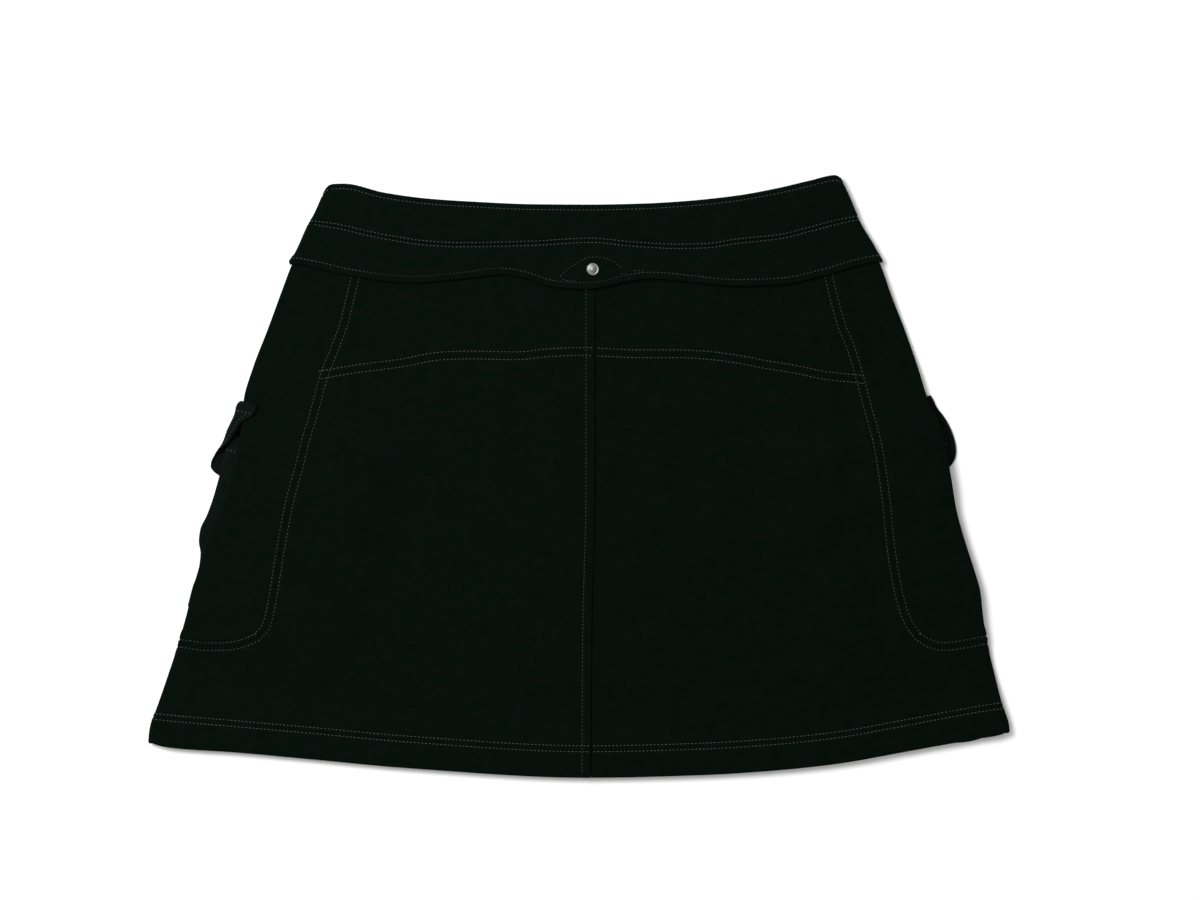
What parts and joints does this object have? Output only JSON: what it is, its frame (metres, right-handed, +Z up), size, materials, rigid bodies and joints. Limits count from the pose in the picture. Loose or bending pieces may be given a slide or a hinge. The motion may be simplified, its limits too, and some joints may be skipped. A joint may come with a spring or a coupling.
{
  "type": "cargo utility skirt",
  "caption": "Short A-line cargo skirt in dark double knit, laid flat with its back up: waistband, scalloped hip band with a rivet, yoke, side panels and flapped side pockets.",
  "frame": {"origin": "on the floor below the centre of the laid skirt's bounding box", "axes": "+X to the skirt's right as seen from above with its back up, +Y towards the waist, +Z up from the floor"},
  "size_m": [0.6406, 0.448, 0.0103],
  "materials": {
    "cloth": "matt black double knit with a faint green cast",
    "thread": "dusty grey topstitching thread",
    "rivet": "worn silver cap"
  },
  "bodies": {
    "root": {"waistband": "cloth", "hip_band": "cloth", "yoke_back_left": "cloth", "yoke_back_right": "cloth", "back_panel_left": "cloth", "back_panel_right": "cloth", "side_panel_left": "cloth", "side_panel_right": "cloth", "front_panel": "cloth", "pocket_bag_left": "cloth", "pocket_bag_right": "cloth", "pocket_flap_left": "cloth", "pocket_flap_right": "cloth", "rivet": "rivet"}
  },
  "joints": []
}
